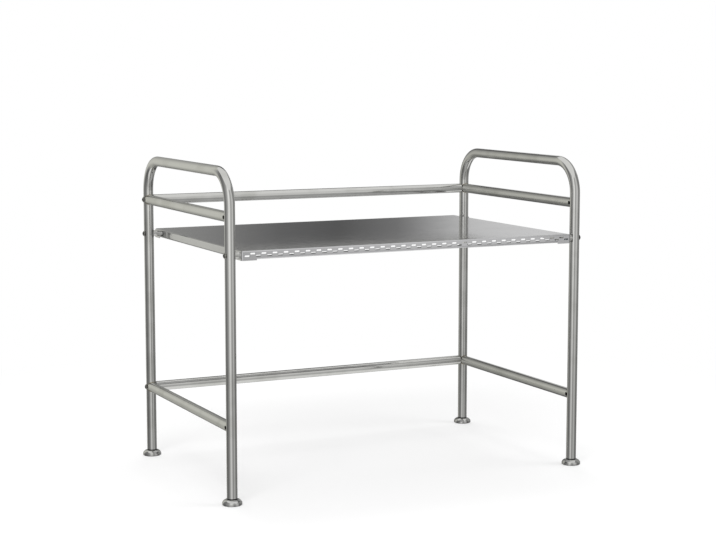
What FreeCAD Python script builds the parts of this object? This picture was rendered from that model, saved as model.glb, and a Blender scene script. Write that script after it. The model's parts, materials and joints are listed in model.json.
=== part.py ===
import FreeCAD, Part
import math
import os

# Two-tier stand for kitchen appliances, bent and welded from round stainless tube.
# Millimetres. X runs along the shelf, Y from front to rear, Z up. The origin lies on the
# counter top, midway between the four legs. Every node is written to parts/NODE.step.

# overall layout, measured between tube axes
leg_span_x = 594.0
leg_span_y = 362.0
lower_rail_z = 116.0
guard_rail_z = 428.0
top_bar_z = 493.0

# round tube
tube_od = 16.0
tube_wall = 1.0
bend_radius = 50.0
leg_end_z = 10.4
weld_gap = 0.05
ear_trim = 3.2
vent_d = 6.0
vent_setback = 5.6

# folded shelf sheet
shelf_top_z = 379.0
shelf_sheet = 1.0
shelf_flange = 14.5
shelf_side_gap = 6.0
shelf_overhang = 11.0
shelf_corner_radius = 3.0
shelf_edge_radius = 2.5
hem_radius = 3.0
hem_return = 1.5
hem_lift = 1.5
hem_end_relief = 24.0

# slots punched in the front flange, in two staggered rows
slot_length = 8.0
slot_width = 2.4
slot_pitch = 17.7
slot_margin = 4.0
slot_row_drops = (4.4, 7.8)

# hat-section stiffeners spot-welded under the shelf
stiffener_offset_y = 84.0
stiffener_end_gap = 34.0
stiffener_crown = 24.0
stiffener_foot = 12.0
stiffener_height = 10.0
stiffener_sheet = 0.8

# M5 button-head screws, nuts and spacers
screw_d = 5.0
screw_hole_clearance = 0.5
screw_head_d = 9.5
screw_head_h = 2.8
shelf_screw_drop = 7.0
nut_af = 8.0
nut_h = 4.0
screw_end = 2.0
spacer_d = 10.0

# threaded inserts pressed into the ends of the rear tubes
rear_seat_gap = 0.05
rear_insert_setback = 1.0
rear_insert_length = 20.0
press_clearance = 0.05

# plastic threaded inserts in the leg ends
leg_insert_length = 20.0
leg_insert_flange = 1.0

# levelling feet: domed cap, moulded core and M8 stud
stud_d = 7.8
stud_clearance = 0.1
stud_top_z = 44.0
stud_tip_chamfer = 1.0
stud_head_d = 13.0
stud_head_h = 2.4
foot_d = 30.0
foot_rim_z = 0.8
foot_rim_h = 3.0
foot_crown_d = 17.0
foot_leg_gap = 0.4
foot_sheet = 1.2
foot_play = 0.2

V = FreeCAD.Vector
X_AXIS = V(1, 0, 0)
Y_AXIS = V(0, 1, 0)
Z_AXIS = V(0, 0, 1)

leg_x = leg_span_x / 2
leg_y = leg_span_y / 2
tube_r = tube_od / 2
bore_r = tube_r - tube_wall
screw_hole_d = screw_d + screw_hole_clearance
shelf_half_x = leg_x - tube_r - shelf_side_gap
shelf_half_y = leg_y + shelf_overhang
shelf_bottom_z = shelf_top_z - shelf_flange
shelf_screw_z = shelf_top_z - shelf_screw_drop
sides = (("left", -1), ("right", 1))
corners = (
    ("front_left", -1, -1),
    ("front_right", 1, -1),
    ("rear_left", -1, 1),
    ("rear_right", 1, 1),
)


def save(node, *solids):
    """Write one node as a STEP file that holds its solids."""
    shape = solids[0] if len(solids) == 1 else Part.makeCompound(list(solids))
    shape.exportStep(f"parts/{node}.step")


def box(low, high):
    """A box between two opposite corners."""
    size = high - low
    return Part.makeBox(size.x, size.y, size.z, low)


def rod(radius, start, direction, length):
    """A round bar from a point along a direction."""
    return Part.makeCylinder(radius, length, start, direction)


def hex_bar(across_flats, start, direction, length):
    """A hexagonal bar along X, with two flats level."""
    corner_r = across_flats / math.sqrt(3)
    corners_yz = [
        start + V(0, corner_r * math.cos(a), corner_r * math.sin(a))
        for a in (math.radians(60 * i) for i in range(7))
    ]
    face = Part.Face(Part.makePolygon(corners_yz))
    return face.extrude(direction * length)


def turned(points_rz, x, y):
    """A closed outline of (radius, height) edges revolved about a vertical axis."""
    face = Part.Face(Part.Wire(points_rz))
    solid = face.revolve(V(0, 0, 0), Z_AXIS, 360)
    solid.translate(V(x, y, 0))
    return solid


def outline(points):
    """Straight edges that join (radius, height) points and close on the first."""
    places = [V(r, 0, z) for r, z in points]
    return Part.makePolygon(places + places[:1]).Edges


# ---- side frames: one inverted U of tube each, with two rails between its legs ----


def disc(radius, center, normal):
    """A flat round face about a point of the tube's centre line."""
    return Part.Face(Part.Wire([Part.makeCircle(radius, center, normal)]))


def tube_section(center, normal):
    """The tube's cross-section: a flat ring."""
    return disc(tube_r, center, normal).cut(disc(bore_r, center, normal))


def notch_section(center, normal):
    """The room that a rail's notched end leaves about the tube for the weld."""
    return disc(tube_r + weld_gap, center, normal)


def bent_length(section, x):
    """A section carried up the front leg, over the top bar and down the rear leg."""
    bend_z = top_bar_z - bend_radius
    bend_y = leg_y - bend_radius
    rise = Z_AXIS * (bend_z - leg_end_z)
    front_leg = section(V(x, -leg_y, leg_end_z), Z_AXIS).extrude(rise)
    front_bend = section(V(x, -leg_y, bend_z), Z_AXIS).revolve(V(x, -bend_y, bend_z), X_AXIS, -90)
    top_bar = section(V(x, -bend_y, top_bar_z), Y_AXIS).extrude(Y_AXIS * (2 * bend_y))
    rear_bend = section(V(x, bend_y, top_bar_z), Y_AXIS).revolve(V(x, bend_y, bend_z), X_AXIS, -90)
    rear_leg = section(V(x, leg_y, leg_end_z), Z_AXIS).extrude(rise)
    return front_leg.fuse([front_bend, top_bar, rear_bend, rear_leg]).removeSplitter()


def screw_holes(side, z_values, y):
    """Drills through both walls of a leg, along X."""
    return [
        rod(screw_hole_d / 2, V(side * leg_x - tube_od, y, z), X_AXIS, 2 * tube_od)
        for z in z_values
    ]


def u_tube(side):
    """The bent tube of one side, drilled for the shelf and the rear tubes."""
    drills = screw_holes(side, (shelf_screw_z,), -leg_y)
    drills += screw_holes(side, (shelf_screw_z, guard_rail_z, lower_rail_z), leg_y)
    return bent_length(tube_section, side * leg_x).cut(drills)


def side_rail(side, z):
    """A tube between the two legs of one side, its ends saddle-notched and vented at the sides."""
    x = side * leg_x
    start = V(x, -leg_y, z)
    rail = rod(tube_r, start, Y_AXIS, leg_span_y)
    rail = rail.cut(rod(bore_r, start, Y_AXIS, leg_span_y))
    reach = tube_od
    cuts = [bent_length(notch_section, x)]
    for end in (-1, 1):
        near = end * (leg_y - ear_trim)
        far = end * (leg_y + reach)
        cuts.append(box(
            V(x - reach, min(near, far), z - reach), V(x + reach, max(near, far), z + reach)
        ))
        vent_start = V(x - reach, end * (leg_y - vent_setback), z)
        cuts.append(rod(vent_d / 2, vent_start, X_AXIS, 2 * reach))
    return rail.cut(cuts)


# ---- rear tubes: screwed through the rear legs into threaded inserts ----


def rear_tube(z):
    """A tube between the two rear legs, its square-cut ends just clear of them."""
    half = leg_x - tube_r - rear_seat_gap
    start = V(-half, leg_y, z)
    return rod(tube_r, start, X_AXIS, 2 * half).cut(rod(bore_r, start, X_AXIS, 2 * half))


def rear_insert(side, z):
    """A round threaded plug pressed into one end of a rear tube."""
    inward = X_AXIS * -side
    start = V(side * (leg_x - tube_r - rear_seat_gap - rear_insert_setback), leg_y, z)
    plug = rod(bore_r - press_clearance, start, inward, rear_insert_length)
    return plug.cut(rod(screw_d / 2 + press_clearance, start, inward, rear_insert_length))


def button_screw(side, y, z, length):
    """A button-head screw laid along X, its head bearing on the outside of a leg."""
    inward = X_AXIS * -side
    seat = V(side * (leg_x + tube_r), y, z)
    cap_r = (screw_head_d ** 2 / 4 + screw_head_h ** 2) / (2 * screw_head_h)
    ball = Part.makeSphere(cap_r, seat - inward * (screw_head_h - cap_r))
    head = ball.common(rod(screw_head_d / 2, seat, inward * -1, screw_head_h))
    shank = rod(screw_d / 2, seat, inward, length)
    return head.fuse(shank).removeSplitter()


# ---- shelf: a sheet folded down on all four sides, hemmed below, slotted in front ----


def shelf_block(inset, low_z):
    """The shelf's rounded outline, set in by one distance, from a height up to its top."""
    low = V(-shelf_half_x + inset, -shelf_half_y + inset, low_z)
    high = V(shelf_half_x - inset, shelf_half_y - inset, shelf_top_z - inset)
    block = box(low, high)
    upright = [e for e in block.Edges if abs(e.tangentAt(0).z) > 0.5]
    block = block.makeFillet(shelf_corner_radius - inset, upright)
    top = [e for e in block.Edges if abs(e.BoundBox.ZMin - high.z) < 1e-6]
    return block.makeFillet(shelf_edge_radius - inset, top)


def hem(half_span, offset):
    """A rolled hem along X: an open half round and a short return, centred on Y = -offset."""
    centre_y = -offset + hem_radius
    centre_z = shelf_bottom_z + hem_lift + hem_radius
    start = V(-half_span, centre_y, centre_z)
    ring = rod(hem_radius, start, X_AXIS, 2 * half_span)
    ring = ring.cut(rod(hem_radius - shelf_sheet, start, X_AXIS, 2 * half_span))
    upper = box(
        V(-half_span, centre_y - hem_radius, centre_z),
        V(half_span, centre_y + hem_radius, centre_z + hem_radius),
    )
    back = box(
        V(-half_span, centre_y + hem_radius - shelf_sheet, centre_z),
        V(half_span, centre_y + hem_radius, centre_z + hem_return),
    )
    return ring.cut(upper).fuse(back)


def flange_cut(half_span, offset):
    """The strip of plain flange that a hem takes the place of."""
    return box(
        V(-half_span, -offset - shelf_sheet, shelf_bottom_z - shelf_sheet),
        V(half_span, -offset + hem_radius, shelf_bottom_z + hem_lift + hem_radius),
    )


def slot(x, z):
    """One slot through the front flange, each of its round ends drawn as three flats."""
    front = -shelf_half_y - shelf_sheet
    half_w = slot_width / 2
    flat = half_w * math.tan(math.pi / 8)
    half_l = slot_length / 2
    straight = half_l - half_w + flat
    quarter = [V(half_l, 0, flat), V(straight, 0, half_w)]
    upper = quarter + [V(-p.x, 0, p.z) for p in reversed(quarter)]
    points = upper + [V(-p.x, 0, -p.z) for p in upper]
    place = V(x, front, z)
    loop = [place + p for p in points + points[:1]]
    return Part.Face(Part.makePolygon(loop)).extrude(Y_AXIS * (3 * shelf_sheet))


def slot_rows():
    """Every slot of the two staggered rows, as far as they fit between the margins."""
    reach = shelf_half_x - slot_margin - slot_length / 2
    slots = []
    for row, drop in enumerate(slot_row_drops):
        shift = slot_pitch / 2 * row
        count = int((reach - shift) / slot_pitch)
        places = [shift + i * slot_pitch for i in range(count + 1)]
        places += [-p for p in places if p > 0]
        slots += [slot(x, shelf_top_z - drop) for x in places]
    return slots


def shelf_plate():
    """The folded shelf with its hems, slots and screw holes."""
    plate = shelf_block(0, shelf_bottom_z)
    plate = plate.cut(shelf_block(shelf_sheet, shelf_bottom_z - shelf_sheet))
    for turn in range(4):
        along_x = turn % 2 == 0
        reach = shelf_half_x if along_x else shelf_half_y
        offset = shelf_half_y if along_x else shelf_half_x
        strip = flange_cut(reach - hem_end_relief, offset)
        roll = hem(reach - hem_end_relief, offset)
        for piece in (strip, roll):
            piece.rotate(V(0, 0, 0), Z_AXIS, 90 * turn)
        plate = plate.cut(strip).fuse(roll)
    drills = slot_rows()
    for _, side, end in corners:
        start = V(side * shelf_half_x - screw_d, end * leg_y, shelf_screw_z)
        drills.append(rod(screw_hole_d / 2, start, X_AXIS, 2 * screw_d))
    return plate.removeSplitter().cut(drills)


def stiffener(y):
    """A hat channel along X, its two feet against the underside of the shelf."""
    top = shelf_top_z - shelf_sheet
    crown = stiffener_crown / 2
    wing = crown + stiffener_foot
    t = stiffener_sheet
    low = top - stiffener_height
    profile = [
        (-wing, top), (-crown, top), (-crown, low + t), (crown, low + t), (crown, top), (wing, top),
        (wing, top - t), (crown + t, top - t), (crown + t, low), (-crown - t, low),
        (-crown - t, top - t), (-wing, top - t),
    ]
    reach = shelf_half_x - stiffener_end_gap
    points = [V(-reach, y + dy, z) for dy, z in profile]
    return Part.Face(Part.makePolygon(points + points[:1])).extrude(X_AXIS * (2 * reach))


def spacer(side, end):
    """A turned bush between a leg and the shelf's side flange, saddled on the leg."""
    inward = X_AXIS * -side
    axis_start = V(side * leg_x, end * leg_y, shelf_screw_z)
    length = tube_r + shelf_side_gap
    bush = rod(spacer_d / 2, axis_start, inward, length)
    leg = rod(tube_r, V(side * leg_x, end * leg_y, shelf_screw_z - tube_od), Z_AXIS, 2 * tube_od)
    hole = rod(screw_hole_d / 2, axis_start, inward, length)
    return bush.cut([leg, hole])


def shelf_nut(side, end):
    """A hexagon nut against the inner face of the shelf's side flange."""
    inward = X_AXIS * -side
    start = V(side * (shelf_half_x - shelf_sheet), end * leg_y, shelf_screw_z)
    nut = hex_bar(nut_af, start, inward, nut_h)
    return nut.cut(rod(screw_d / 2 + press_clearance, start, inward, nut_h))


# ---- levelling feet ----


def leg_insert(x, y):
    """A moulded plug with a flange, pressed into a leg end, threaded for the stud."""
    plug_r = bore_r - press_clearance
    hole_r = stud_d / 2 + stud_clearance
    top = leg_end_z + leg_insert_length
    low = leg_end_z - leg_insert_flange
    return turned(outline([
        (hole_r, low), (tube_r, low), (tube_r, leg_end_z), (plug_r, leg_end_z), (plug_r, top),
        (hole_r, top),
    ]), x, y)


foot_top_z = leg_end_z - leg_insert_flange - foot_leg_gap
foot_hole_r = stud_d / 2 + stud_clearance


def dome_edges(inset, low_z, hole_r):
    """The outline of the foot's dome, set in by one distance, down to a flat base."""
    rim_r = foot_d / 2 - inset
    rim_top = foot_rim_z + foot_rim_h
    crown_r = foot_crown_d / 2 - inset
    top = foot_top_z - inset
    # the shoulder bulges out of the straight line between rim and crown by an eighth of it
    bulge = 0.125
    mid_r = (rim_r + crown_r) / 2 + bulge * (top - rim_top)
    mid_z = (rim_top + top) / 2 + bulge * (rim_r - crown_r)
    points = [
        V(hole_r, 0, low_z), V(rim_r, 0, low_z), V(rim_r, 0, rim_top), V(crown_r, 0, top),
        V(hole_r, 0, top),
    ]
    return [
        Part.LineSegment(points[0], points[1]).toShape(),
        Part.LineSegment(points[1], points[2]).toShape(),
        Part.Arc(points[2], V(mid_r, 0, mid_z), points[3]).toShape(),
        Part.LineSegment(points[3], points[4]).toShape(),
        Part.LineSegment(points[4], points[0]).toShape(),
    ]


def foot_cap(x, y):
    """The pressed dome that shows: a thin shell with a hole for the stud."""
    shell = turned(dome_edges(0, foot_rim_z, foot_hole_r), x, y)
    hollow = turned(dome_edges(foot_sheet, foot_rim_z - foot_sheet, foot_hole_r), x, y)
    return shell.cut(hollow)


def foot_core(x, y):
    """The moulded core that fills the dome, stands on the counter and holds the stud's head."""
    fill = turned(dome_edges(foot_sheet + press_clearance, 0, foot_hole_r), x, y)
    pocket_low = foot_top_z - foot_sheet - foot_play - stud_head_h - press_clearance
    pocket_r = stud_head_d / 2 + foot_play
    fill = fill.cut(rod(pocket_r, V(x, y, pocket_low), Z_AXIS, foot_top_z))
    return fill.fuse(rod(foot_hole_r + foot_play, V(x, y, 0), Z_AXIS, pocket_low)).removeSplitter()


def foot_stud(x, y):
    """The M8 stud with its flat head captive between dome and core."""
    head_top = foot_top_z - foot_sheet - foot_play
    head_low = head_top - stud_head_h
    r = stud_d / 2
    return turned(outline([
        (0, head_low), (stud_head_d / 2, head_low), (stud_head_d / 2, head_top), (r, head_top),
        (r, stud_top_z - stud_tip_chamfer), (r - stud_tip_chamfer, stud_top_z), (0, stud_top_z),
    ]), x, y)


def main():
    """Build every node and write it."""
    os.makedirs("parts", exist_ok=True)
    for name, side in sides:
        save(f"{name}_u_tube", u_tube(side))
        save(f"{name}_guard_rail", side_rail(side, guard_rail_z))
        save(f"{name}_lower_rail", side_rail(side, lower_rail_z))

    rear_levels = (("rear_guard_tube", guard_rail_z), ("rear_lower_tube", lower_rail_z))
    for name, z in rear_levels:
        save(name, rear_tube(z))
    rear_ends = [(side, z) for _, side in sides for _, z in rear_levels]
    rear_screw_length = tube_od + rear_insert_length - screw_end
    save("rear_tube_inserts", *[rear_insert(side, z) for side, z in rear_ends])
    save("rear_tube_screws", *[button_screw(side, leg_y, z, rear_screw_length) for side, z in rear_ends])

    shelf_screw_length = tube_od + shelf_side_gap + shelf_sheet + nut_h + screw_end
    save("shelf_plate", shelf_plate())
    save("shelf_stiffeners", stiffener(-stiffener_offset_y), stiffener(stiffener_offset_y))
    save("shelf_spacers", *[spacer(side, end) for _, side, end in corners])
    save("shelf_nuts", *[shelf_nut(side, end) for _, side, end in corners])
    save("shelf_screws", *[
        button_screw(side, end * leg_y, shelf_screw_z, shelf_screw_length) for _, side, end in corners
    ])

    save("leg_inserts", *[leg_insert(side * leg_x, end * leg_y) for _, side, end in corners])
    for name, side, end in corners:
        x = side * leg_x
        y = end * leg_y
        save(f"{name}_foot_cap", foot_cap(x, y))
        save(f"{name}_foot_core", foot_core(x, y))
        save(f"{name}_foot_stud", foot_stud(x, y))


main()
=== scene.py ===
"""Finishes and fine detail for a two-tier tube stand that carries kitchen appliances.

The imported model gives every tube, sheet and fitting its shape and place. This script dresses
them, and adds the weld beads, the spot welds, socket-head screws, nuts and threaded studs.
"""

import json
import logging
import math
from abc import ABC, abstractmethod
from dataclasses import dataclass
from enum import Enum
from typing import Any, Iterable, Sequence

import bmesh
import bpy
from mathutils import Matrix, Vector

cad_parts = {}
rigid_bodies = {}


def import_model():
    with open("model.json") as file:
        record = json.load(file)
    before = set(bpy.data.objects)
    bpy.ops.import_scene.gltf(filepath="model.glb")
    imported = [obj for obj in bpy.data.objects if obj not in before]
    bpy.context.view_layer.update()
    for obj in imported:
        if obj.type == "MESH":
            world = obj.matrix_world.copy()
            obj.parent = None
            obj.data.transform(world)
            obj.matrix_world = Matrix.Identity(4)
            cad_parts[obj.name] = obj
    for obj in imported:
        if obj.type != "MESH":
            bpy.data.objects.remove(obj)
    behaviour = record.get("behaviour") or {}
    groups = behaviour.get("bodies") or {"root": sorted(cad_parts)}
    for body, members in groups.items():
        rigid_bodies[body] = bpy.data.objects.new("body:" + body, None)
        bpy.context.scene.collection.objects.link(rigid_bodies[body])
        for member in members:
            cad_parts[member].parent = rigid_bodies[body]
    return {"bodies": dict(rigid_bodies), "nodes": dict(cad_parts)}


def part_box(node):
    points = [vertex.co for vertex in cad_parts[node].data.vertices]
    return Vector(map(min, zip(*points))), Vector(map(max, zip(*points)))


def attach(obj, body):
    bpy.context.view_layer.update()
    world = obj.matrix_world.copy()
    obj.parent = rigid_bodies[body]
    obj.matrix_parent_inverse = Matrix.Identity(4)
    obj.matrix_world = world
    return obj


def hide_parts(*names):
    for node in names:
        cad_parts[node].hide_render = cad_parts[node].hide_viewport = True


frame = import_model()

log = logging.getLogger("tube_stand")

MM = 0.001
# vertices nearer than this are one
MERGE = 1e-7
# a place this near a level or radius lies on it
NEAR = 1e-6


def middle(node: str) -> Vector:
    """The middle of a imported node's box, at rest."""
    low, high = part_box(node)
    return (low + high) / 2


# the stand's own sizes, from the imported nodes
TUBE_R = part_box("right_u_tube")[1].x - middle("right_u_tube").x
TOP_BAR_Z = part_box("right_u_tube")[1].z - TUBE_R
LEG_X, LEG_Y = middle("right_u_tube").x, middle("rear_guard_tube").y
GUARD_Z, LOWER_Z = middle("rear_guard_tube").z, middle("rear_lower_tube").z
SHELF_SCREW_Z = middle("shelf_screws").z
# no box shows how tightly a tube is bent
BEND_R = 50.0 * MM


class StandPlace(Enum):
    """A place on the stand, whose name is part of the names of nodes and bodies."""

    @property
    def word(self) -> str:
        """The place's name as nodes and bodies carry it."""
        return self.name.lower()


class Side(StandPlace):
    """The two side frames, with the sign of X each one stands on."""

    LEFT = -1
    RIGHT = 1


class Corner(StandPlace):
    """The four legs, with the signs of X and Y each one stands on."""

    FRONT_LEFT = (-1, -1)
    FRONT_RIGHT = (1, -1)
    REAR_LEFT = (-1, 1)
    REAR_RIGHT = (1, 1)

    @property
    def place(self) -> Vector:
        """The point of the counter under the leg's axis."""
        return Vector((self.value[0] * LEG_X, self.value[1] * LEG_Y, 0.0))


class TubeRun(Enum):
    """The way a tube runs, which its polishing rings follow."""

    BENT = "bent"
    ALONG_X = "along_x"
    ALONG_Y = "along_y"


# ---- node trees ----


def linear(hex_code: str) -> tuple[float, float, float, float]:
    """Turns an sRGB colour into the linear values that a shader takes.

    Args:
        hex_code: six hexadecimal digits.

    Returns:
        Red, green, blue and an alpha of 1.
    """
    srgb = [int(hex_code[i : i + 2], 16) / 255 for i in (0, 2, 4)]
    rgb = [c / 12.92 if c <= 0.04045 else ((c + 0.055) / 1.055) ** 2.4 for c in srgb]
    return (rgb[0], rgb[1], rgb[2], 1.0)


WHITE = linear("FFFFFF")


def add_node(
    tree: bpy.types.NodeTree,
    kind: str,
    inputs: dict[Any, Any] | None = None,
    **settings: Any,
) -> bpy.types.Node:
    """Adds one node to a tree, with its settings, values and links.

    Args:
        tree: the node tree that takes the node.
        kind: the node's type name.
        inputs: for each input, by name or number, a value or the output socket that feeds it.
        settings: attributes set on the node itself before its inputs.

    Returns:
        The new node.
    """
    node = tree.nodes.new(kind)
    for name, value in settings.items():
        setattr(node, name, value)
    for name, value in (inputs or {}).items():
        if isinstance(value, bpy.types.NodeSocket):
            tree.links.new(value, node.inputs[name])
        else:
            node.inputs[name].default_value = value
    return node


def empty_material(name: str) -> tuple[bpy.types.Material, bpy.types.NodeTree]:
    """A material with a cleared node tree.

    Args:
        name: the material's name.

    Returns:
        The material and its tree.
    """
    material = bpy.data.materials.new(name)
    material.use_nodes = True
    material.node_tree.nodes.clear()
    return material, material.node_tree


def from_to(limits: Sequence[float], results: Sequence[float]) -> dict[str, float]:
    """Names the four ends of a range as a range node's inputs name them.

    Args:
        limits: the lowest and highest value that change the result.
        results: the results at those limits.

    Returns:
        The four values by name.
    """
    return dict(zip(("From Min", "From Max", "To Min", "To Max"), (*limits, *results)))


# a range that eases in and out at its ends
SMOOTH = {"interpolation_type": "SMOOTHSTEP"}
# a colour mix's inputs for its factor and its two colours, and its output
MIX_FACTOR, MIX_LOW, MIX_HIGH, MIX_RESULT = 0, 6, 7, 2
# a noise lies between 0 and 1 but seldom leaves these limits
NOISE_REACH = (0.3, 0.7)
PATCH_REACH = (0.3, 0.75)


# ---- finishes ----


@dataclass(frozen=True, kw_only=True)
class Metal(ABC):
    """A metal whose gloss its grain breaks up, with patches that have gone duller."""

    name: str
    tone: str
    dull_tone: str
    roughness: tuple[float, float]
    patch_size: float
    relief: float
    bump_strength: float = 0.3
    # what the grain's low and high places add to the roughness
    streak: tuple[float, float] = (-0.03, 0.04)
    # where in the patches' noise the dull tone begins and where it is full
    dull_reach: tuple[float, float] = (0.42, 0.7)

    @abstractmethod
    def grain_height(self, tree: bpy.types.NodeTree) -> bpy.types.NodeSocket:
        """Draws the grain.

        Args:
            tree: the node tree.

        Returns:
            The socket of its height, from 0 to 1.
        """

    def material(self) -> bpy.types.Material:
        """Builds the finish.

        Returns:
            The material.
        """
        material, tree = empty_material(self.name)
        grain = self.grain_height(tree)
        point = add_node(tree, "ShaderNodeTexCoord").outputs["Object"]
        patches = add_node(
            tree,
            "ShaderNodeTexNoise",
            {"Vector": point, "Scale": 1 / self.patch_size, "Detail": 2.0},
        ).outputs[0]
        dull = add_node(
            tree,
            "ShaderNodeMapRange",
            {"Value": patches, **from_to(self.dull_reach, (0.0, 1.0))},
            **SMOOTH,
        ).outputs[0]
        colour = add_node(
            tree,
            "ShaderNodeMix",
            {MIX_FACTOR: dull, MIX_LOW: linear(self.tone), MIX_HIGH: linear(self.dull_tone)},
            data_type="RGBA",
        ).outputs[MIX_RESULT]
        gloss = add_node(
            tree,
            "ShaderNodeMapRange",
            {"Value": patches, **from_to(PATCH_REACH, self.roughness)},
            **SMOOTH,
        ).outputs[0]
        streak = add_node(
            tree,
            "ShaderNodeMapRange",
            {"Value": grain, **from_to(NOISE_REACH, self.streak)},
            **SMOOTH,
        ).outputs[0]
        rough = add_node(tree, "ShaderNodeMath", {0: gloss, 1: streak}, operation="ADD")
        bump = add_node(
            tree,
            "ShaderNodeBump",
            {"Strength": self.bump_strength, "Distance": self.relief, "Height": grain},
        )
        shader = add_node(
            tree,
            "ShaderNodeBsdfPrincipled",
            {
                "Base Color": colour,
                "Metallic": 1.0,
                "Roughness": rough.outputs[0],
                "Normal": bump.outputs[0],
            },
        )
        add_node(tree, "ShaderNodeOutputMaterial", {0: shader.outputs[0]})
        return material


@dataclass(frozen=True, kw_only=True)
class GrainedMetal(Metal):
    """A bare or plated metal whose grain runs one way, or lies all round.

    The grain's three sizes are in metres along X, Y and Z: a long one lies along the marks
    that made it, a short one across them.
    """

    grain: tuple[float, float, float]

    def grain_height(self, tree: bpy.types.NodeTree) -> bpy.types.NodeSocket:
        """Draws the grain.

        Args:
            tree: the node tree.

        Returns:
            The socket of its height, from 0 to 1.
        """
        point = add_node(tree, "ShaderNodeTexCoord").outputs["Object"]
        scale = tuple(1 / size for size in self.grain)
        squeeze = add_node(tree, "ShaderNodeMapping", {"Vector": point, "Scale": scale})
        return add_node(
            tree,
            "ShaderNodeTexNoise",
            {"Vector": squeeze.outputs[0], "Scale": 1.0, "Detail": 4.0, "Roughness": 0.6},
        ).outputs[0]


@dataclass(frozen=True, kw_only=True)
class PolishedTube(Metal):
    """Austenitic stainless tube, belt-polished after welding.

    The belt leaves fine rings about the tube, so the gloss is a little soft and the rings
    only show as a faint ripple. Hands leave patches that are duller still.
    """

    run: TubeRun
    tone: str = "CACAC7"
    dull_tone: str = "BDBDB9"
    roughness: tuple[float, float] = (0.08, 0.14)
    # a belt leaves rings about 0.2 mm apart; they are drawn 1.6 mm apart to show at all
    ring_pitch: float = 1.6 * MM
    patch_size: float = 45.0 * MM
    relief: float = 0.004 * MM
    bump_strength: float = 0.2
    streak: tuple[float, float] = (-0.015, 0.02)
    dull_reach: tuple[float, float] = (0.45, 0.72)

    def along(self, tree: bpy.types.NodeTree) -> bpy.types.NodeSocket:
        """The distance along the tube, as its polishing rings count it.

        Args:
            tree: the node tree.

        Returns:
            The distance's socket, in metres.
        """
        point = add_node(tree, "ShaderNodeTexCoord").outputs["Object"]
        axes = add_node(tree, "ShaderNodeSeparateXYZ", {0: point}).outputs
        if self.run is TubeRun.ALONG_X:
            return axes["X"]
        if self.run is TubeRun.ALONG_Y:
            return axes["Y"]
        bend_z, bend_y = TOP_BAR_Z - BEND_R, LEG_Y - BEND_R
        # each step names its result, its operation and its terms
        steps = (
            ("depth", "ABSOLUTE", "y"),
            ("past_leg", "SUBTRACT", "z", bend_z),
            ("rise", "MAXIMUM", "past_leg", 0.0),
            ("past_bar", "SUBTRACT", "depth", bend_y),
            ("reach", "MAXIMUM", "past_bar", 0.0),
            ("angle", "ARCTAN2", "rise", "reach"),
            ("arc", "MULTIPLY", "angle", BEND_R),
            ("leg", "MINIMUM", "z", bend_z),
            ("bar", "MINIMUM", "depth", bend_y),
            ("leg_and_arc", "ADD", "leg", "arc"),
            ("along", "SUBTRACT", "leg_and_arc", "bar"),
        )
        found: dict[Any, Any] = {"y": axes["Y"], "z": axes["Z"]}
        for result, operation, *terms in steps:
            inputs = {i: found.get(term, term) for i, term in enumerate(terms)}
            node = add_node(tree, "ShaderNodeMath", inputs, operation=operation)
            found[result] = node.outputs[0]
        return found["along"]

    def grain_height(self, tree: bpy.types.NodeTree) -> bpy.types.NodeSocket:
        """Draws the belt's rings.

        Args:
            tree: the node tree.

        Returns:
            The socket of their height, from 0 to 1.
        """
        return add_node(
            tree,
            "ShaderNodeTexNoise",
            {"W": self.along(tree), "Scale": 1 / self.ring_pitch, "Detail": 3.0, "Roughness": 0.65},
            noise_dimensions="1D",
        ).outputs[0]


# a bright-rolled sheet: nearly a mirror, with rolling lines along its length
SHELF_SHEET_STEEL = GrainedMetal(
    name="stainless_sheet_bright_rolled",
    tone="C4C4C5",
    dull_tone="BFBFC0",
    roughness=(0.09, 0.13),
    # rolling lines lie 0.1 mm apart; they are drawn 1.2 mm apart to show at all
    grain=(60.0 * MM, 1.2 * MM, 1.2 * MM),
    patch_size=70.0 * MM,
    relief=0.004 * MM,
    bump_strength=0.15,
)
# screws tumbled in a barrel: bright, with a soft all-round haze
SCREW_STEEL = GrainedMetal(
    name="stainless_screw_tumbled",
    tone="9C9B96",
    dull_tone="82817C",
    roughness=(0.2, 0.32),
    grain=(0.8 * MM, 0.8 * MM, 0.8 * MM),
    patch_size=3.0 * MM,
    relief=0.006 * MM,
)
# bushes parted off on a lathe: fine rings about the screw's axis
BUSH_STEEL = GrainedMetal(
    name="stainless_bush_turned",
    tone="C6C6C3",
    dull_tone="B4B4B0",
    roughness=(0.14, 0.24),
    grain=(0.4 * MM, 40.0 * MM, 40.0 * MM),
    patch_size=5.0 * MM,
    relief=0.005 * MM,
)
# blue-passivated zinc: a cool grey that clouds from part to part
ZINC_STEEL = GrainedMetal(
    name="steel_zinc_plated",
    tone="AEB4BA",
    dull_tone="969A9C",
    roughness=(0.26, 0.4),
    grain=(0.6 * MM, 0.6 * MM, 0.6 * MM),
    patch_size=4.0 * MM,
    relief=0.008 * MM,
)
# bright chrome over a pressed steel cap: a clear mirror with faint drawing marks
CHROME_CAP = GrainedMetal(
    name="chrome_plated_cap",
    tone="C6C6C4",
    dull_tone="BCBCB9",
    roughness=(0.07, 0.14),
    grain=(1.5 * MM, 1.5 * MM, 1.5 * MM),
    patch_size=9.0 * MM,
    relief=0.002 * MM,
)
# filler bead, washed by the arc to straw and a little duller than the tube
WELD_STEEL = GrainedMetal(
    name="stainless_weld_bead",
    tone="A9A28F",
    dull_tone="857C6B",
    roughness=(0.25, 0.38),
    grain=(0.7 * MM, 0.7 * MM, 0.7 * MM),
    patch_size=5.0 * MM,
    relief=0.01 * MM,
)
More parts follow.
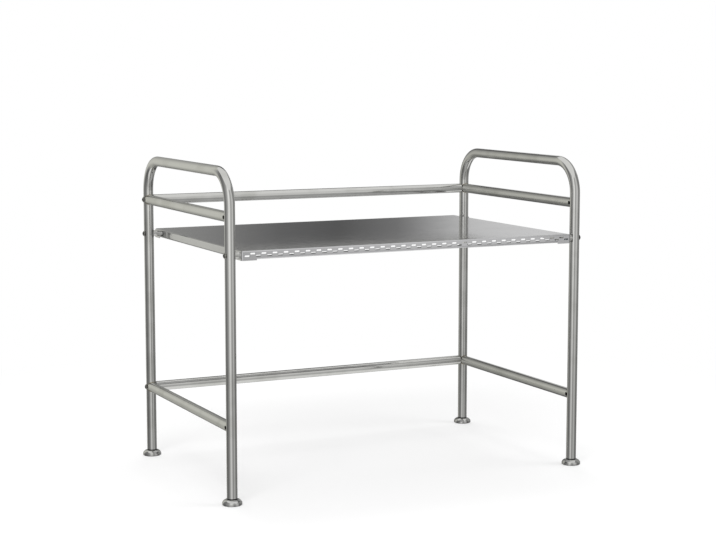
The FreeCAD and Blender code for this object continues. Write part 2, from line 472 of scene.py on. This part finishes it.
# spot welds: the electrode leaves a dull grey disc that browns in patches
SPOT_STEEL = GrainedMetal(
    name="stainless_spot_weld",
    tone="94928D",
    dull_tone="77706A",
    roughness=(0.32, 0.45),
    grain=(0.9 * MM, 0.9 * MM, 0.9 * MM),
    patch_size=3.0 * MM,
    relief=0.01 * MM,
)


@dataclass(frozen=True)
class BlackNylon:
    """Injection-moulded nylon, black, from a spark-eroded tool.

    The tool's fine pitting gives a dull, slightly grained skin with soft highlights.
    """

    tone: str = "161617"
    scuffed_tone: str = "242425"
    roughness: tuple[float, float] = (0.42, 0.58)
    ior: float = 1.53
    # spark erosion pits are about 0.1 mm; they are drawn at 0.5 mm to show close up
    pit_size: float = 0.5 * MM
    relief: float = 0.03 * MM
    bump_strength: float = 0.5
    scuffs_per_metre: float = 120.0
    # where in the scuffs' noise the worn tone begins and where it is full
    worn_reach: tuple[float, float] = (0.5, 0.75)

    def material(self) -> bpy.types.Material:
        """Builds the finish.

        Returns:
            The material.
        """
        material, tree = empty_material("nylon_moulded_black")
        point = add_node(tree, "ShaderNodeTexCoord").outputs["Object"]
        pits = add_node(
            tree,
            "ShaderNodeTexNoise",
            {"Vector": point, "Scale": 1 / self.pit_size, "Detail": 3.0},
        ).outputs[0]
        scuffs = add_node(
            tree,
            "ShaderNodeTexNoise",
            {"Vector": point, "Scale": self.scuffs_per_metre, "Detail": 4.0},
        ).outputs[0]
        worn = add_node(
            tree,
            "ShaderNodeMapRange",
            {"Value": scuffs, **from_to(self.worn_reach, (0.0, 1.0))},
            **SMOOTH,
        ).outputs[0]
        colour = add_node(
            tree,
            "ShaderNodeMix",
            {MIX_FACTOR: worn, MIX_LOW: linear(self.tone), MIX_HIGH: linear(self.scuffed_tone)},
            data_type="RGBA",
        ).outputs[MIX_RESULT]
        rough = add_node(
            tree,
            "ShaderNodeMapRange",
            {"Value": scuffs, **from_to(PATCH_REACH, self.roughness)},
            **SMOOTH,
        ).outputs[0]
        bump = add_node(
            tree,
            "ShaderNodeBump",
            {"Strength": self.bump_strength, "Distance": self.relief, "Height": pits},
        )
        shader = add_node(
            tree,
            "ShaderNodeBsdfPrincipled",
            {
                "Base Color": colour,
                "Roughness": rough,
                "IOR": self.ior,
                "Normal": bump.outputs[0],
            },
        )
        add_node(tree, "ShaderNodeOutputMaterial", {0: shader.outputs[0]})
        return material


# ---- pieces and nodes ----


def dress(node_names: Iterable[str], material: bpy.types.Material) -> None:
    """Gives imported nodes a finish.

    Args:
        node_names: the nodes.
        material: what every material slot of theirs takes.
    """
    for name in node_names:
        node = frame["nodes"][name]
        for place in node.material_slots:
            place.material = material
        if not node.material_slots:
            node.data.materials.append(material)
        log.info("dressed %s in %s", name, material.name)


def keep_piece(
    shape: bmesh.types.BMesh,
    name: str,
    material: bpy.types.Material,
    body: str,
    replaced: Sequence[str] = (),
    sharp_angle: float = 32.0,
) -> None:
    """Makes a finished mesh a piece that rides on a body.

    Args:
        shape: the mesh, in place; it is freed.
        name: the piece's name.
        material: its finish.
        body: the body it rides on.
        replaced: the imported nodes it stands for.
        sharp_angle: edges that turn by more than this many degrees stay crisp.
    """
    for face in shape.faces:
        face.smooth = True
    limit = math.radians(sharp_angle)
    for edge in shape.edges:
        edge.smooth = edge.calc_face_angle(0.0) < limit
    mesh = bpy.data.meshes.new(name)
    shape.to_mesh(mesh)
    shape.free()
    mesh.materials.append(material)
    piece = bpy.data.objects.new(name, mesh)
    bpy.context.scene.collection.objects.link(piece)
    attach(piece, body)
    if replaced:
        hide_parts(*replaced)
    log.info("made %s with %d faces on %s", name, len(mesh.polygons), body)


# ---- mesh work ----


def gained(
    shape: bmesh.types.BMesh, before: set[bmesh.types.BMVert]
) -> list[bmesh.types.BMVert]:
    """The vertices that a mesh has and didn't have before."""
    return [vert for vert in shape.verts if vert not in before]


def edges_of(points: Iterable[bmesh.types.BMVert]) -> list[bmesh.types.BMEdge]:
    """Every edge that meets one of these vertices, once."""
    return list(dict.fromkeys(edge for vert in points for edge in vert.link_edges))


def faces_of(points: Iterable[bmesh.types.BMVert]) -> list[bmesh.types.BMFace]:
    """Every face that meets one of these vertices, once."""
    return list(dict.fromkeys(face for vert in points for face in vert.link_faces))


def face_outwards(shape: bmesh.types.BMesh, points: Iterable[bmesh.types.BMVert]) -> None:
    """Turns the faces about these vertices outwards."""
    bmesh.ops.recalc_face_normals(shape, faces=faces_of(points))


def outline(
    shape: bmesh.types.BMesh, profile: Sequence[tuple[float, float]], closed: bool = False
) -> list[Any]:
    """Draws a profile of (radius, height) points beside Z.

    Args:
        shape: the mesh that takes it.
        profile: the points.
        closed: whether the last point joins the first.

    Returns:
        Its vertices, then its edges.
    """
    points = [shape.verts.new((radius, 0.0, height)) for radius, height in profile]
    ends = points[1:] + points[:1] if closed else points[1:]
    return points + [shape.edges.new(pair) for pair in zip(points, ends)]


def lathe(
    shape: bmesh.types.BMesh,
    profile: Sequence[tuple[float, float]],
    steps: int,
    closed: bool = False,
) -> list[bmesh.types.BMVert]:
    """Turns a profile of (radius, height) points about Z into a closed solid.

    Args:
        shape: the mesh that takes the solid.
        profile: the points, from the axis at one end to the axis at the other, or all round
            a closed outline.
        steps: the number of faces about the axis.
        closed: whether the profile is a closed outline.

    Returns:
        The solid's vertices.
    """
    before = set(shape.verts)
    bmesh.ops.spin(
        shape,
        geom=outline(shape, profile, closed),
        cent=(0.0, 0.0, 0.0),
        axis=(0.0, 0.0, 1.0),
        dvec=(0.0, 0.0, 0.0),
        angle=math.tau,
        steps=steps,
        use_merge=True,
        use_duplicate=False,
    )
    bmesh.ops.remove_doubles(shape, verts=gained(shape, before), dist=MERGE)
    made = gained(shape, before)
    face_outwards(shape, made)
    return made


def helix(
    shape: bmesh.types.BMesh,
    root_r: float,
    crest_r: float,
    pitch: float,
    span: tuple[float, float],
    steps: int,
) -> list[bmesh.types.BMVert]:
    """Winds a right-hand thread about Z and closes its ends.

    Args:
        shape: the mesh that takes the thread.
        root_r: the radius at the bottom of the thread.
        crest_r: the radius at its crest.
        pitch: the rise of one turn.
        span: the lowest and highest point.
        steps: the number of faces in a turn.

    Returns:
        The thread's vertices.
    """
    before = set(shape.verts)
    low, high = span
    turns = math.ceil((high - low) / pitch) + 2
    start = low - pitch
    # the shares of one rise at which the crest begins and ends
    crest = (0.42, 0.58)
    tooth = [
        (root_r, start),
        (crest_r, start + crest[0] * pitch),
        (crest_r, start + crest[1] * pitch),
        (root_r, start + pitch),
    ]
    bmesh.ops.spin(
        shape,
        geom=outline(shape, tooth),
        cent=(0.0, 0.0, 0.0),
        axis=(0.0, 0.0, 1.0),
        dvec=(0.0, 0.0, pitch / steps),
        angle=math.tau * turns,
        steps=turns * steps,
        use_merge=False,
        use_duplicate=False,
    )
    bmesh.ops.remove_doubles(shape, verts=gained(shape, before), dist=NEAR)
    for height, direction in ((low, -1.0), (high, 1.0)):
        made = gained(shape, before)
        bmesh.ops.bisect_plane(
            shape,
            geom=made + edges_of(made) + faces_of(made),
            dist=MERGE,
            plane_co=(0.0, 0.0, height),
            plane_no=(0.0, 0.0, direction),
            clear_outer=True,
            clear_inner=False,
        )
        rim = [edge for edge in edges_of(gained(shape, before)) if edge.is_boundary]
        level = [e for e in rim if all(abs(v.co.z - height) < NEAR for v in e.verts)]
        bmesh.ops.holes_fill(shape, edges=level, sides=0)
    made = gained(shape, before)
    face_outwards(shape, made)
    return made


def hexagon(points: Iterable[bmesh.types.BMVert], across: float) -> None:
    """Draws a ring of vertices in to a hexagon.

    Args:
        points: the ring.
        across: the hexagon's size across its flats.
    """
    sixth = math.pi / 3
    for vert in points:
        angle = math.atan2(vert.co.y, vert.co.x)
        off_flat = (angle % sixth) - sixth / 2
        radius = across / 2 / math.cos(off_flat)
        vert.co.x = radius * math.cos(angle)
        vert.co.y = radius * math.sin(angle)


def move(
    shape: bmesh.types.BMesh, points: list[bmesh.types.BMVert], place: Matrix
) -> None:
    """Takes vertices from where they were made to their place.

    Args:
        shape: the mesh.
        points: the vertices.
        place: the transform.
    """
    bmesh.ops.transform(shape, matrix=place, verts=points)


def outward(side: Side, y: float, z: float, x: float) -> Matrix:
    """A place on a side frame, with Z turned to point away from the stand.

    Args:
        side: the side frame.
        y: the place along Y.
        z: the height.
        x: the distance from the stand's middle.

    Returns:
        The transform.
    """
    turn = Matrix.Rotation(side.value * math.pi / 2, 4, "Y")
    return Matrix.Translation((side.value * x, y, z)) @ turn


# ---- sub-assemblies ----


@dataclass
class SideFrames:
    """The bent side tubes with their rails, the rear tubes and the weld beads."""

    bead_r: float = 0.75 * MM
    ripple_depth: float = 0.16
    ripples: int = 15
    steps_per_ripple: int = 4
    # the rails' side tips are trimmed, so a bead ends this far round from the side
    bare_angle: float = 25.0
    # the share of its thickness that a bead has at its ends, and how fast that grows inwards,
    # in shares for the bead's whole length
    end_share: float = 0.35
    end_swell: float = 6.0
    section_sides: int = 10
    sharp_angle: float = 60.0

    def bead(self, shape: bmesh.types.BMesh, place: Vector, end: int, up: int) -> None:
        """Lays one bead along the saddle where a rail meets a leg.

        Args:
            shape: the mesh that takes the bead.
            place: the point where the rail's axis meets the leg's.
            end: the sign of Y of that leg.
            up: 1 for the upper half of the saddle, -1 for the lower.
        """
        before = set(shape.verts)
        section = bmesh.ops.create_circle(
            shape, cap_ends=False, segments=self.section_sides, radius=self.bead_r
        )["verts"]
        first = math.radians(self.bare_angle)
        sweep = math.pi - 2 * first
        move(shape, section, Matrix.Rotation(math.pi / 2, 4, "Y"))
        move(shape, section, Matrix.Translation((0.0, 0.0, TUBE_R)))
        move(shape, section, Matrix.Rotation(math.pi / 2 - first, 4, "Y"))
        bmesh.ops.spin(
            shape,
            geom=section + edges_of(section),
            cent=(0.0, 0.0, 0.0),
            axis=(0.0, 1.0, 0.0),
            dvec=(0.0, 0.0, 0.0),
            angle=-sweep,
            steps=self.ripples * self.steps_per_ripple,
            use_merge=False,
            use_duplicate=False,
        )
        made = gained(shape, before)
        for vert in made:
            angle = math.atan2(vert.co.z, vert.co.x)
            centre = Vector((TUBE_R * math.cos(angle), 0.0, TUBE_R * math.sin(angle)))
            share = (angle - first) / sweep
            wave = 1.0 - self.ripple_depth * abs(math.sin(share * self.ripples * math.pi))
            taper = min(1.0, self.end_share + self.end_swell * min(share, 1.0 - share))
            vert.co = centre + (vert.co - centre) * wave * taper
            vert.co.y -= end * TUBE_R * math.sin(angle)
            vert.co.z *= up
        rim = [edge for edge in edges_of(made) if edge.is_boundary]
        bmesh.ops.holes_fill(shape, edges=rim, sides=0)
        face_outwards(shape, made)
        move(shape, made, Matrix.Translation(place))

    def welds(self, side: Side, rail: str, height: float, finish: bpy.types.Material) -> None:
        """Welds both ends of one rail.

        Args:
            side: the side frame.
            rail: the rail's word in its node's name.
            height: the height of its axis.
            finish: the bead's material.
        """
        shape = bmesh.new()
        for end in (-1, 1):
            for up in (-1, 1):
                place = Vector((side.value * LEG_X, end * LEG_Y, height))
                self.bead(shape, place, end, up)
        name = f"{side.word}_{rail}_weld_beads"
        keep_piece(shape, name, finish, "frame", sharp_angle=self.sharp_angle)

    def build(self) -> None:
        """Dresses the tubes and lays the beads."""
        polished = {
            run: PolishedTube(name=f"stainless_tube_polished_{run.value}", run=run).material()
            for run in TubeRun
        }
        weld = WELD_STEEL.material()
        for side in Side:
            dress([f"{side.word}_u_tube"], polished[TubeRun.BENT])
            rails = [f"{side.word}_guard_rail", f"{side.word}_lower_rail"]
            dress(rails, polished[TubeRun.ALONG_Y])
            self.welds(side, "guard_rail", GUARD_Z, weld)
            self.welds(side, "lower_rail", LOWER_Z, weld)
        dress(["rear_guard_tube", "rear_lower_tube"], polished[TubeRun.ALONG_X])


@dataclass
class Fasteners:
    """The button-head screws, the shelf's nuts and the plugs in the tube ends."""

    head_r: float = 4.75 * MM
    head_h: float = 2.8 * MM
    shank_r: float = 2.5 * MM
    rear_shank: float = 24.0 * MM
    shelf_shank: float = 29.0 * MM
    tip_chamfer: float = 0.4 * MM
    socket_af: float = 3.0 * MM
    socket_depth: float = 1.7 * MM
    drill_cone: float = 0.5 * MM
    rim: float = 0.15 * MM
    dome_steps: int = 7
    sides: int = 48
    nut_af: float = 8.0 * MM
    nut_h: float = 4.0 * MM
    nut_chamfer: float = 0.55 * MM
    nut_bore: float = 2.55 * MM
    bore_chamfer: float = 0.4 * MM
    # the round face left by a nut's chamfer, as a share of its size across flats
    nut_face_share: float = 0.97

    def dome(self) -> list[tuple[float, float]]:
        """The head's spherical crown, from the socket's rim to its edge.

        Returns:
            Points of radius and height.
        """
        ball = (self.head_r**2 + self.head_h**2) / (2 * self.head_h)
        rim_r = self.socket_af / math.sqrt(3) + self.rim
        low, high = math.asin(rim_r / ball), math.asin(self.head_r / ball)
        angles = [low + (high - low) * i / self.dome_steps for i in range(self.dome_steps + 1)]
        sunk = ball - self.head_h
        return [(ball * math.sin(a), ball * math.cos(a) - sunk) for a in angles]

    def screw(self, shape: bmesh.types.BMesh, length: float, place: Matrix) -> None:
        """Makes one screw, its head outwards.

        Args:
            shape: the mesh that takes it.
            length: the shank's length.
            place: the transform that puts the underside of its head in place.
        """
        crown = self.dome()
        rim_z = crown[0][1]
        socket_r = self.socket_af / math.sqrt(3)
        floor_z = rim_z - self.socket_depth
        profile = [
            (0.0, floor_z - self.drill_cone),
            (socket_r, floor_z),
            (socket_r, rim_z - self.rim),
            *crown,
            (self.shank_r, 0.0),
            (self.shank_r, -length + self.tip_chamfer),
            (self.shank_r - self.tip_chamfer, -length),
            (0.0, -length),
        ]
        made = lathe(shape, profile, self.sides)
        socket = [v for v in made if abs(v.co.xy.length - socket_r) < NEAR and v.co.z > 0]
        hexagon(socket, self.socket_af)
        move(shape, made, place)

    def nut(self, shape: bmesh.types.BMesh, place: Matrix) -> None:
        """Makes one chamfered hexagon nut.

        Args:
            shape: the mesh that takes it.
            place: the transform that puts its outer face in place.
        """
        wide = self.nut_af / math.sqrt(3)
        face_r = self.nut_af / 2 * self.nut_face_share
        bore, mouth = self.nut_bore, self.nut_bore + self.bore_chamfer
        low, high = -self.nut_h, 0.0
        profile = [
            (bore, low + self.bore_chamfer),
            (mouth, low),
            (face_r, low),
            (wide, low + self.nut_chamfer),
            (wide, high - self.nut_chamfer),
            (face_r, high),
            (mouth, high),
            (bore, high - self.bore_chamfer),
        ]
        made = lathe(shape, profile, self.sides, closed=True)
        hexagon([v for v in made if abs(v.co.xy.length - wide) < NEAR], self.nut_af)
        face_outwards(shape, made)
        move(shape, made, place)

    def build(self) -> None:
        """Makes the screws and nuts that stand for the plain ones, and dresses the plugs."""
        steel = SCREW_STEEL.material()
        zinc = ZINC_STEEL.material()
        seat = LEG_X + TUBE_R
        nut_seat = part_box("shelf_nuts")[1].x
        rear, shelf, nuts = bmesh.new(), bmesh.new(), bmesh.new()
        for side in Side:
            for height in (GUARD_Z, LOWER_Z):
                self.screw(rear, self.rear_shank, outward(side, LEG_Y, height, seat))
            for end in (-1, 1):
                place = outward(side, end * LEG_Y, SHELF_SCREW_Z, seat)
                self.screw(shelf, self.shelf_shank, place)
                self.nut(nuts, outward(side, end * LEG_Y, SHELF_SCREW_Z, nut_seat))
        pieces = (
            (rear, "rear_tube_button_screws", steel, "bright_fasteners", "rear_tube_screws"),
            (shelf, "shelf_button_screws", steel, "bright_fasteners", "shelf_screws"),
            (nuts, "shelf_hexagon_nuts", zinc, "plated_steel", "shelf_nuts"),
        )
        for shape, name, finish, slot, node in pieces:
            keep_piece(shape, name, finish, "frame", [node])
        dress(["rear_tube_inserts"], zinc)


@dataclass
class Shelf:
    """The folded sheet with its stiffeners, their spot welds and the bushes that hold it."""

    stiffener_y: float = 84.0 * MM
    stiffener_sheet: float = 0.8 * MM
    # how far each foot of a stiffener lies from its middle
    foot_y: float = 18.0 * MM
    weld_pitch: float = 62.0 * MM
    weld_r: float = 2.6 * MM
    weld_h: float = 0.12 * MM
    # the width of a weld's raised rim, with its slope to the dented middle
    rim: float = 0.9 * MM
    weld_sides: int = 20

    def spot_weld(self, shape: bmesh.types.BMesh, place: Vector) -> None:
        """Presses one electrode mark under a stiffener's foot.

        Args:
            shape: the mesh that takes it.
            place: its centre, on the underside.
        """
        edge, top = self.weld_r, -self.weld_h
        # a third of the rim is flat, and a third of the height is left in the middle
        profile = [
            (0.0, 0.0),
            (edge, 0.0),
            (edge, top),
            (edge - self.rim / 3, top),
            (edge - self.rim, top / 3),
            (0.0, top / 3),
        ]
        made = lathe(shape, profile, self.weld_sides)
        move(shape, made, Matrix.Translation(place))

    def build(self) -> None:
        """Dresses the sheet work and makes the spot welds."""
        dress(["shelf_plate", "shelf_stiffeners"], SHELF_SHEET_STEEL.material())
        dress(["shelf_spacers"], BUSH_STEEL.material())
        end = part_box("shelf_stiffeners")[1]
        under = end.z - self.stiffener_sheet
        count = int(end.x / self.weld_pitch)
        shape = bmesh.new()
        for row in (-1, 1):
            for edge in (-1, 1):
                y = row * self.stiffener_y + edge * self.foot_y
                for step in range(-count, count + 1):
                    self.spot_weld(shape, Vector((step * self.weld_pitch, y, under)))
        keep_piece(shape, "stiffener_spot_welds", SPOT_STEEL.material(), "frame")


@dataclass
class LevellingFeet:
    """The domed chrome feet on their threaded studs."""

    crest_r: float = 3.9 * MM
    root_r: float = 3.25 * MM
    pitch: float = 1.25 * MM
    head_r: float = 6.5 * MM
    head_h: float = 2.4 * MM
    head_chamfer: float = 0.3 * MM
    run_out: float = 1.0 * MM
    tip_taper: float = 0.9 * MM
    sides: int = 32
    thread_steps: int = 28

    def stud(self, corner: Corner, zinc: bpy.types.Material) -> None:
        """Makes one threaded stud in place of the plain one.

        Args:
            corner: the leg it stands under.
            zinc: its finish.
        """
        node = f"{corner.word}_foot_stud"
        low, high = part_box(node)
        shape = bmesh.new()
        head_top = low.z + self.head_h
        neck = head_top + self.run_out
        profile = [
            (0.0, low.z),
            (self.head_r - self.head_chamfer, low.z),
            (self.head_r, low.z + self.head_chamfer),
            (self.head_r, head_top - self.head_chamfer),
            (self.head_r - self.head_chamfer, head_top),
            (self.root_r, head_top),
            (self.root_r, neck + self.pitch),
            (0.0, neck + self.pitch),
        ]
        lathe(shape, profile, self.sides)
        span = (neck, high.z)
        wound = helix(shape, self.root_r, self.crest_r, self.pitch, span, self.thread_steps)
        # the tip narrows at 45 degrees, by its taper
        for vert in wound:
            room = self.crest_r - self.tip_taper + (high.z - vert.co.z)
            radius = vert.co.xy.length
            if radius > room:
                vert.co.x *= room / radius
                vert.co.y *= room / radius
        move(shape, list(shape.verts), Matrix.Translation(corner.place))
        name = f"{corner.word}_threaded_stud"
        keep_piece(shape, name, zinc, f"{corner.word}_stud", [node])

    def build(self) -> None:
        """Dresses caps, cores and the plugs above them, and makes the studs."""
        chrome = CHROME_CAP.material()
        zinc = ZINC_STEEL.material()
        nylon = BlackNylon().material()
        dress(["leg_inserts"], nylon)
        for corner in Corner:
            dress([f"{corner.word}_foot_cap"], chrome)
            dress([f"{corner.word}_foot_core"], nylon)
            self.stud(corner, zinc)


# ---- studio ----

# the drum's tones by azimuth, in degrees from +X towards +Y
DRUM_TONES = (
    (4, "929292"), (18, "828282"), (34, "757575"), (46, "AEAEAE"), (53, "A3A3A3"),
    (60, "606060"), (66, "484848"), (72, "525252"), (79, "6C6C6B"), (88, "80807E"),
    (97, "90908D"), (104, "9A9A96"), (111, "A8A8A3"), (120, "B4B4AE"), (128, "B2B2AD"),
    (136, "949494"), (144, "727272"), (156, "686868"), (170, "727272"), (186, "848484"),
    (198, "909090"), (210, "A4A4A4"), (220, "CACACA"), (230, "DCDCDC"), (242, "D8D8D8"),
    (252, "B0B0B0"), (262, "969696"), (273, "9A9A9A"), (284, "B9B9B9"), (304, "BDBDBD"),
    (315, "989898"), (333, "686868"),
)
# the soft boxes: name, place, side in metres, power in watts
LAMPS = (
    ("key_box", (-1.6, -2.0, 2.6), 1.6, 55.0),
    ("fill_box", (2.4, -1.4, 2.2), 1.6, 28.0),
    ("top_box", (0.2, 1.4, 3.0), 1.8, 30.0),
)


def seen_by(tree: bpy.types.NodeTree, rays: Sequence[str]) -> bpy.types.NodeSocket:
    """Tells whether a ray of some kinds is looking.

    Args:
        tree: the node tree.
        rays: the light path's names for those kinds.

    Returns:
        A socket that is 1 where one is, and 0 elsewhere.
    """
    path = add_node(tree, "ShaderNodeLightPath").outputs
    seen = path[rays[0]]
    for ray in rays[1:]:
        seen = add_node(
            tree, "ShaderNodeMath", {0: seen, 1: path[ray]}, operation="MAXIMUM"
        ).outputs[0]
    return seen


def stage_piece(
    shape: bmesh.types.BMesh, name: str, material: bpy.types.Material
) -> bpy.types.Object:
    """Makes a mesh part of the stage.

    Args:
        shape: the mesh; it is freed.
        name: the object's name.
        material: its material.

    Returns:
        The new object.
    """
    mesh = bpy.data.meshes.new(name)
    shape.to_mesh(mesh)
    shape.free()
    mesh.materials.append(material)
    piece = bpy.data.objects.new(name, mesh)
    bpy.context.scene.collection.objects.link(piece)
    return piece


@dataclass
class Studio:
    """A pale floor, soft lamps, a toned drum for the metal to mirror, and the camera."""

    # the lens and its sensor in millimetres, the camera's angles in degrees, the rest in metres
    focal_length: float = 85.86
    sensor: float = 36.0
    camera_place: tuple[float, float, float] = (-1.2076, -2.4885, 0.6534)
    camera_yaw: float = 25.85
    camera_pitch: float = 6.97
    lamp_aim: tuple[float, float, float] = (0.0, 0.0, 0.25)
    world_level: float = 0.62
    round_sides: int = 96
    floor_r: float = 9.0
    floor_tone: str = "F8F8F8"
    # the floor lies this far under the feet, so that no face of theirs lies in it
    floor_gap: float = 0.2 * MM
    # how far the floor's own white hides its shadows near the stand
    floor_glow: float = 0.45
    # the distances from the middle at which that white grows, and at which it is full
    floor_fade: tuple[float, float] = (0.5, 1.1)
    drum_r: float = 1.5
    drum_span: tuple[float, float] = (-1.2, 1.8)
    # the strength of the drum's light above shade_span, and its share of that below
    drum_level: float = 1.7
    low_shade: float = 0.72
    shade_span: tuple[float, float] = (-0.25, 0.35)

    def camera(self) -> None:
        """Makes the camera and sets it as the scene's."""
        data = bpy.data.cameras.new("studio_camera")
        data.sensor_width = self.sensor
        data.lens = self.focal_length
        camera = bpy.data.objects.new("studio_camera", data)
        camera.location = self.camera_place
        tilt = math.radians(90 - self.camera_pitch)
        camera.rotation_euler = (tilt, 0.0, -math.radians(self.camera_yaw))
        bpy.context.scene.collection.objects.link(camera)
        bpy.context.scene.camera = camera

    def lamp(self, name: str, place: Vector, size: float, power: float) -> None:
        """Hangs one square soft box that faces the stand.

        Args:
            name: the lamp's name.
            place: where it hangs.
            size: the length of its side.
            power: its power in watts.
        """
        data = bpy.data.lights.new(name, "AREA")
        data.shape = "SQUARE"
        data.size = size
        data.energy = power
        lamp = bpy.data.objects.new(name, data)
        lamp.location = place
        aim = Vector(self.lamp_aim) - place
        lamp.rotation_euler = aim.to_track_quat("-Z", "Y").to_euler()
        lamp.visible_camera = False
        lamp.visible_glossy = False
        bpy.context.scene.collection.objects.link(lamp)

    def world(self) -> None:
        """Surrounds the scene with soft light that shows as white."""
        world = bpy.data.worlds.new("studio_surround")
        bpy.context.scene.world = world
        world.use_nodes = True
        tree = world.node_tree
        tree.nodes.clear()
        seen = seen_by(tree, ("Is Camera Ray", "Is Glossy Ray", "Is Transmission Ray"))
        level = add_node(
            tree,
            "ShaderNodeMapRange",
            {"Value": seen, **from_to((0.0, 1.0), (self.world_level, 1.0))},
            **SMOOTH,
        ).outputs[0]
        light = add_node(tree, "ShaderNodeBackground", {"Color": WHITE, "Strength": level})
        add_node(tree, "ShaderNodeOutputWorld", {0: light.outputs[0]})

    def floor_paper(self) -> bpy.types.Material:
        """White paper that fades to the white surround and is clear from below.

        Returns:
            The material.
        """
        material, tree = empty_material("white_paper_floor")
        point = add_node(tree, "ShaderNodeTexCoord").outputs["Object"]
        far = add_node(tree, "ShaderNodeVectorMath", {0: point}, operation="LENGTH")
        fade = add_node(
            tree,
            "ShaderNodeMapRange",
            {"Value": far.outputs["Value"], **from_to(self.floor_fade, (self.floor_glow, 1.0))},
            **SMOOTH,
        ).outputs[0]
        seen = seen_by(tree, ("Is Camera Ray", "Is Glossy Ray"))
        glow = add_node(tree, "ShaderNodeMath", {0: fade, 1: seen}, operation="MULTIPLY")
        paper = add_node(tree, "ShaderNodeBsdfDiffuse", {"Color": linear(self.floor_tone)})
        white = add_node(tree, "ShaderNodeEmission", {"Color": WHITE, "Strength": 1.0})
        top = add_node(
            tree,
            "ShaderNodeMixShader",
            {0: glow.outputs[0], 1: paper.outputs[0], 2: white.outputs[0]},
        )
        below = add_node(tree, "ShaderNodeNewGeometry").outputs["Backfacing"]
        clear = add_node(tree, "ShaderNodeBsdfTransparent")
        either = add_node(
            tree, "ShaderNodeMixShader", {0: below, 1: top.outputs[0], 2: clear.outputs[0]}
        )
        add_node(tree, "ShaderNodeOutputMaterial", {0: either.outputs[0]})
        return material

    def floor(self) -> None:
        """Lays a round floor, which goes down with the foot that is screwed out furthest."""
        shape = bmesh.new()
        bmesh.ops.create_circle(
            shape,
            cap_ends=True,
            segments=self.round_sides,
            radius=self.floor_r,
            matrix=Matrix.Translation((0.0, 0.0, -self.floor_gap)),
        )
        floor = stage_piece(shape, "floor", self.floor_paper())
        floor.visible_glossy = False
        for corner in Corner:
            limit = floor.constraints.new("FLOOR")
            limit.target = frame["bodies"][f"{corner.word}_foot"]
            limit.floor_location = "FLOOR_NEGATIVE_Z"

    def drum_paper(self) -> bpy.types.Material:
        """Paper that glows in greys, by the direction that it stands in.

        Returns:
            The material.
        """
        material, tree = empty_material("toned_paper_drum")
        point = add_node(tree, "ShaderNodeTexCoord").outputs["Object"]
        part = add_node(tree, "ShaderNodeSeparateXYZ", {0: point})
        # atan2 runs from -180 to 180 degrees; the ramp takes it as 0 to 1
        turn = add_node(
            tree,
            "ShaderNodeMath",
            {0: part.outputs["Y"], 1: part.outputs["X"]},
            operation="ARCTAN2",
        )
        share = add_node(
            tree,
            "ShaderNodeMath",
            {0: turn.outputs[0], 1: 1 / math.tau, 2: 0.5},
            operation="MULTIPLY_ADD",
        )
        tones = add_node(tree, "ShaderNodeValToRGB", {0: share.outputs[0]})
        ramp = tones.color_ramp
        ramp.interpolation = "LINEAR"
        stops = sorted(((azimuth + 180) % 360 / 360, tone) for azimuth, tone in DRUM_TONES)
        while len(ramp.elements) < len(stops):
            ramp.elements.new(1.0)
        for element, (place, tone) in zip(ramp.elements, stops):
            element.position = place
            element.color = linear(tone)
        levels = (self.low_shade * self.drum_level, self.drum_level)
        level = add_node(
            tree,
            "ShaderNodeMapRange",
            {"Value": part.outputs["Z"], **from_to(self.shade_span, levels)},
            **SMOOTH,
        ).outputs[0]
        light = add_node(
            tree, "ShaderNodeEmission", {"Color": tones.outputs["Color"], "Strength": level}
        )
        add_node(tree, "ShaderNodeOutputMaterial", {0: light.outputs[0]})
        return material

    def drum(self) -> None:
        """Stands a toned paper drum round the stage, that only gloss sees."""
        shape = bmesh.new()
        low, high = self.drum_span
        bmesh.ops.create_cone(
            shape,
            cap_ends=False,
            segments=self.round_sides,
            radius1=self.drum_r,
            radius2=self.drum_r,
            depth=high - low,
            matrix=Matrix.Translation((0.0, 0.0, (low + high) / 2)),
        )
        drum = stage_piece(shape, "drum", self.drum_paper())
        drum.visible_camera = False
        drum.visible_diffuse = False
        drum.visible_shadow = False
        drum.visible_transmission = False

    def build(self) -> None:
        """Sets the stage."""
        self.camera()
        self.world()
        self.floor()
        self.drum()
        for name, place, size, power in LAMPS:
            self.lamp(name, Vector(place), size, power)
        bpy.context.scene.view_settings.view_transform = "Standard"
        log.info("stage set")


def main() -> None:
    """Builds the stage, dresses the stand and adds its detail."""
    logging.basicConfig(level=logging.INFO, format="%(message)s")
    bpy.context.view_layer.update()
    Studio().build()
    SideFrames().build()
    Fasteners().build()
    Shelf().build()
    LevellingFeet().build()


if __name__ == "__main__":
    main()
